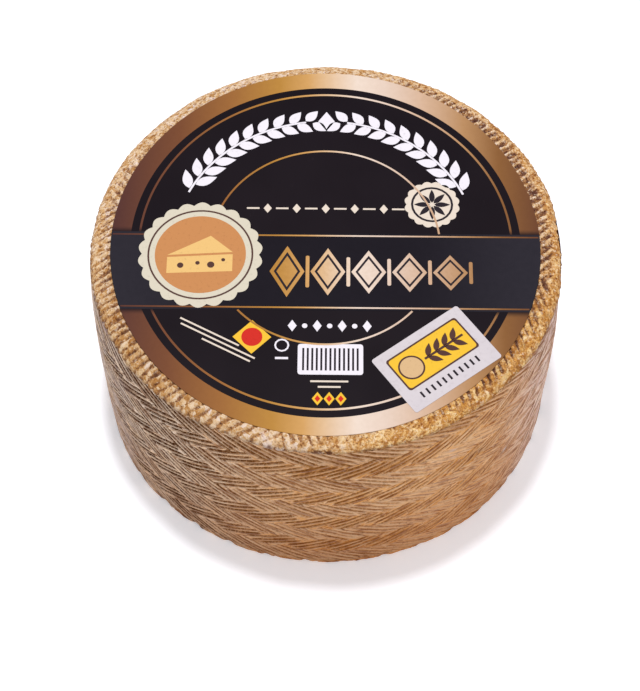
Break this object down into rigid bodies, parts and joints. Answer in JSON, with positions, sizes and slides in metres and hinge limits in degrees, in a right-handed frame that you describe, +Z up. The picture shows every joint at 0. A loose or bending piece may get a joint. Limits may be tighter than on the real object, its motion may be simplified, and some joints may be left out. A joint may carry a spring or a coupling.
{
  "type": "cheese wheel",
  "caption": "Whole aged cheese wheel with a plaited-grass print on its side, ribbed rims, and a round paper label with a small sticker on its top.",
  "frame": {"origin": "centre of the base on the surface it stands on", "axes": "+Z up through the wheel to its label, +X to the right of the label as it is read, where the wheel is widest"},
  "size_m": [0.1974, 0.1907, 0.1087],
  "materials": {
    "rind": "dry, matt aged cheese rind with a plaited-grass print",
    "label_paper": "coated paper, black with a gold border, satin gloss",
    "sticker_paper": "plain white sticker, satin"
  },
  "bodies": {
    "root": {"wheel": "rind", "label": "label_paper", "sticker": "sticker_paper"}
  },
  "joints": []
}
